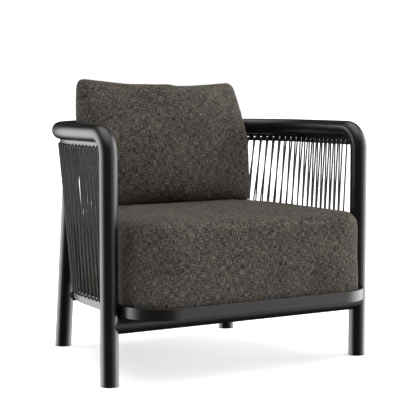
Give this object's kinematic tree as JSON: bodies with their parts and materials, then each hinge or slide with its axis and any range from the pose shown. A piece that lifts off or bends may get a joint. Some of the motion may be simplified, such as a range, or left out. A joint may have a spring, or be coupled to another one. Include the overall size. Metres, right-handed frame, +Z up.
{
  "type": "outdoor lounge armchair",
  "caption": "Low lounge armchair with a bent metal tube frame, rope-laced arms and back, a thick seat cushion and a loose back pillow.",
  "frame": {"origin": "on the floor, at the middle of the chair's overall width and depth", "axes": "+X from the left arm to the right arm as seen from the front, +Y towards the back, +Z up"},
  "size_m": [0.795, 0.696, 0.7447],
  "materials": {
    "powder_coated_metal": "satin charcoal powder coat",
    "bare_aluminium": "mill finish, hidden inside the rail",
    "glide_plastic": "matte black moulded plastic",
    "rope": "matte dark grey braided rope",
    "cushion_fabric": "melange linen-look weave",
    "foam": "open-cell foam and fibre filling"
  },
  "bodies": {
    "root": {"front_leg_left": "powder_coated_metal", "front_leg_right": "powder_coated_metal", "top_rail": "powder_coated_metal", "rear_leg_left": "powder_coated_metal", "rear_leg_right": "powder_coated_metal", "front_cross_tube": "powder_coated_metal", "rear_cross_tube": "powder_coated_metal", "seat_ring": "powder_coated_metal", "rope_strip_left": "powder_coated_metal", "rope_strip_back": "powder_coated_metal", "rope_strip_right": "powder_coated_metal", "rail_sleeve_left": "bare_aluminium", "rail_sleeve_right": "bare_aluminium", "front_glide_left": "glide_plastic", "front_glide_right": "glide_plastic", "rear_glide_left": "glide_plastic", "rear_glide_right": "glide_plastic", "rope_left_1": "rope", "rope_left_2": "rope", "rope_left_3": "rope", "rope_back_1": "rope", "rope_back_2": "rope", "rope_back_3": "rope", "rope_back_4": "rope", "rope_right_1": "rope", "rope_right_2": "rope", "rope_right_3": "rope", "seat_slat_1": "powder_coated_metal", "seat_slat_2": "powder_coated_metal", "seat_slat_3": "powder_coated_metal", "seat_slat_4": "powder_coated_metal", "seat_slat_5": "powder_coated_metal", "seat_slat_6": "powder_coated_metal", "seat_cushion_cover": "cushion_fabric", "seat_cushion_foam": "foam", "pillow_cover": "cushion_fabric", "pillow_filling": "foam"}
  },
  "joints": []
}
